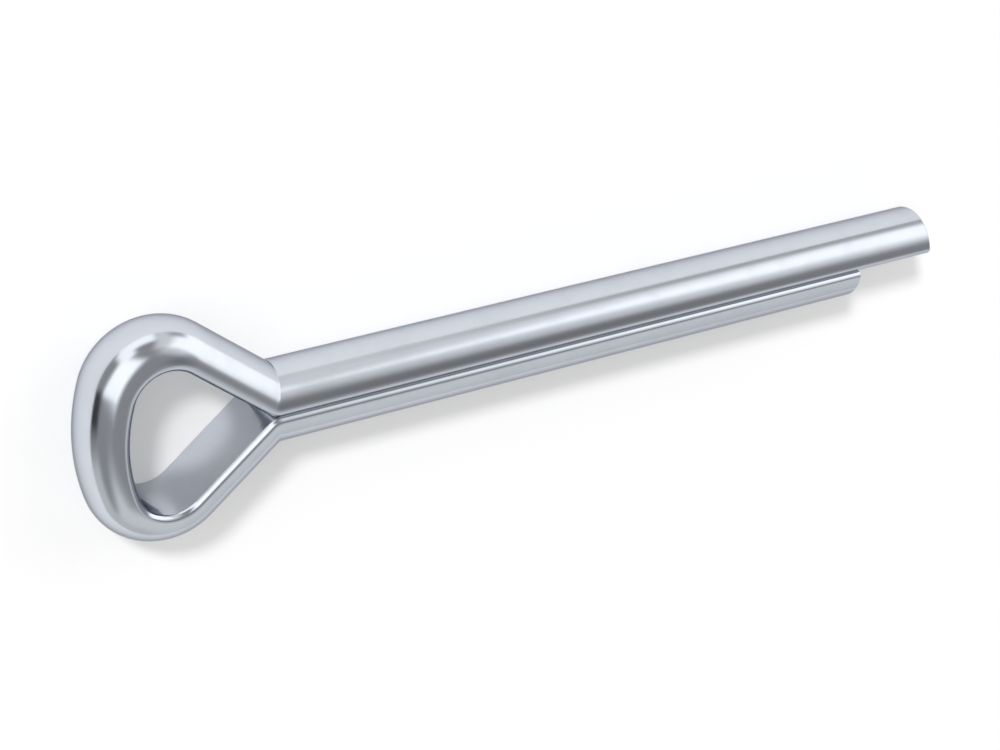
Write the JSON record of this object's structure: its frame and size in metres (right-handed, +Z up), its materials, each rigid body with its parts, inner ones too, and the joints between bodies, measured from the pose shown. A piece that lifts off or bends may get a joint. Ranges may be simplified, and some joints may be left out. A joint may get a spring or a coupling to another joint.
{
  "type": "cotter pin",
  "caption": "Split cotter pin of half-round steel wire with a rounded triangular eye and closed legs of unequal length, pushed through a cross hole and bent open to lock it.",
  "frame": {"origin": "on the shank's axis at the neck, where the two legs part to form the eye", "axes": "+X along the legs to their tips, +Y in the plane of the eye towards the longer leg, +Z up, square to the plane of the eye, with the pin lying flat"},
  "size_m": [0.0566, 0.013, 0.0046],
  "materials": {
    "bright_steel": "bright zinc plated steel wire, smooth, with faint drawing lines along the wire"
  },
  "bodies": {
    "root": {"cotter_pin": "bright_steel"}
  },
  "joints": []
}
